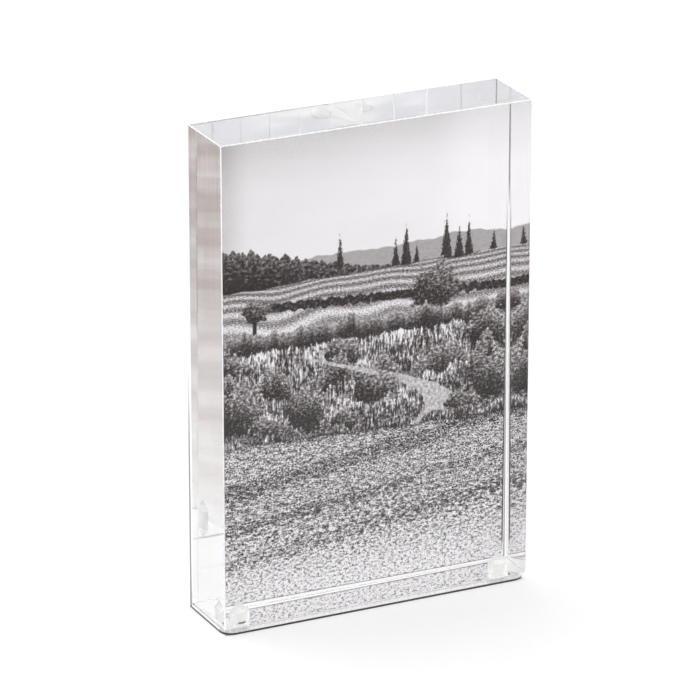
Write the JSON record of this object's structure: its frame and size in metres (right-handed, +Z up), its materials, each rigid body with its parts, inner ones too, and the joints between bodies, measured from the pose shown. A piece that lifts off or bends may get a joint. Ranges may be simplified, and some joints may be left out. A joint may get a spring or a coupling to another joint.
{
  "type": "acrylic block frame",
  "caption": "Clear block frame: a thick polished block stands on the foot of a clear L-shaped back, held by hidden disc magnets, with an upright print trapped between them.",
  "frame": {"origin": "on the table, under the middle of the frame's width and depth", "axes": "+Z up the leaf, +X to the right as seen from the front, +Y from the block's front face to the leaf"},
  "size_m": [0.1016, 0.0254, 0.1544],
  "materials": {
    "clear_acrylic": "polished",
    "print_paper": "satin",
    "nickel_plate": "polished"
  },
  "bodies": {
    "back": {"back_leaf": "clear_acrylic", "foot_plate": "clear_acrylic", "foot_magnet_left": "nickel_plate", "foot_magnet_right": "nickel_plate"},
    "block": {"acrylic_block": "clear_acrylic", "block_magnet_left": "nickel_plate", "block_magnet_right": "nickel_plate"},
    "print": {"photo_print": "print_paper"}
  },
  "joints": [
    {"name": "block_lift", "type": "slide", "parent": "back", "child": "block", "axis": [0, 0, 1], "range_m": [0, 0.1524]},
    {"name": "print_slide", "type": "slide", "parent": "back", "child": "print", "axis": [0, 0, 1], "range_m": [0, 0.1524]}
  ]
}
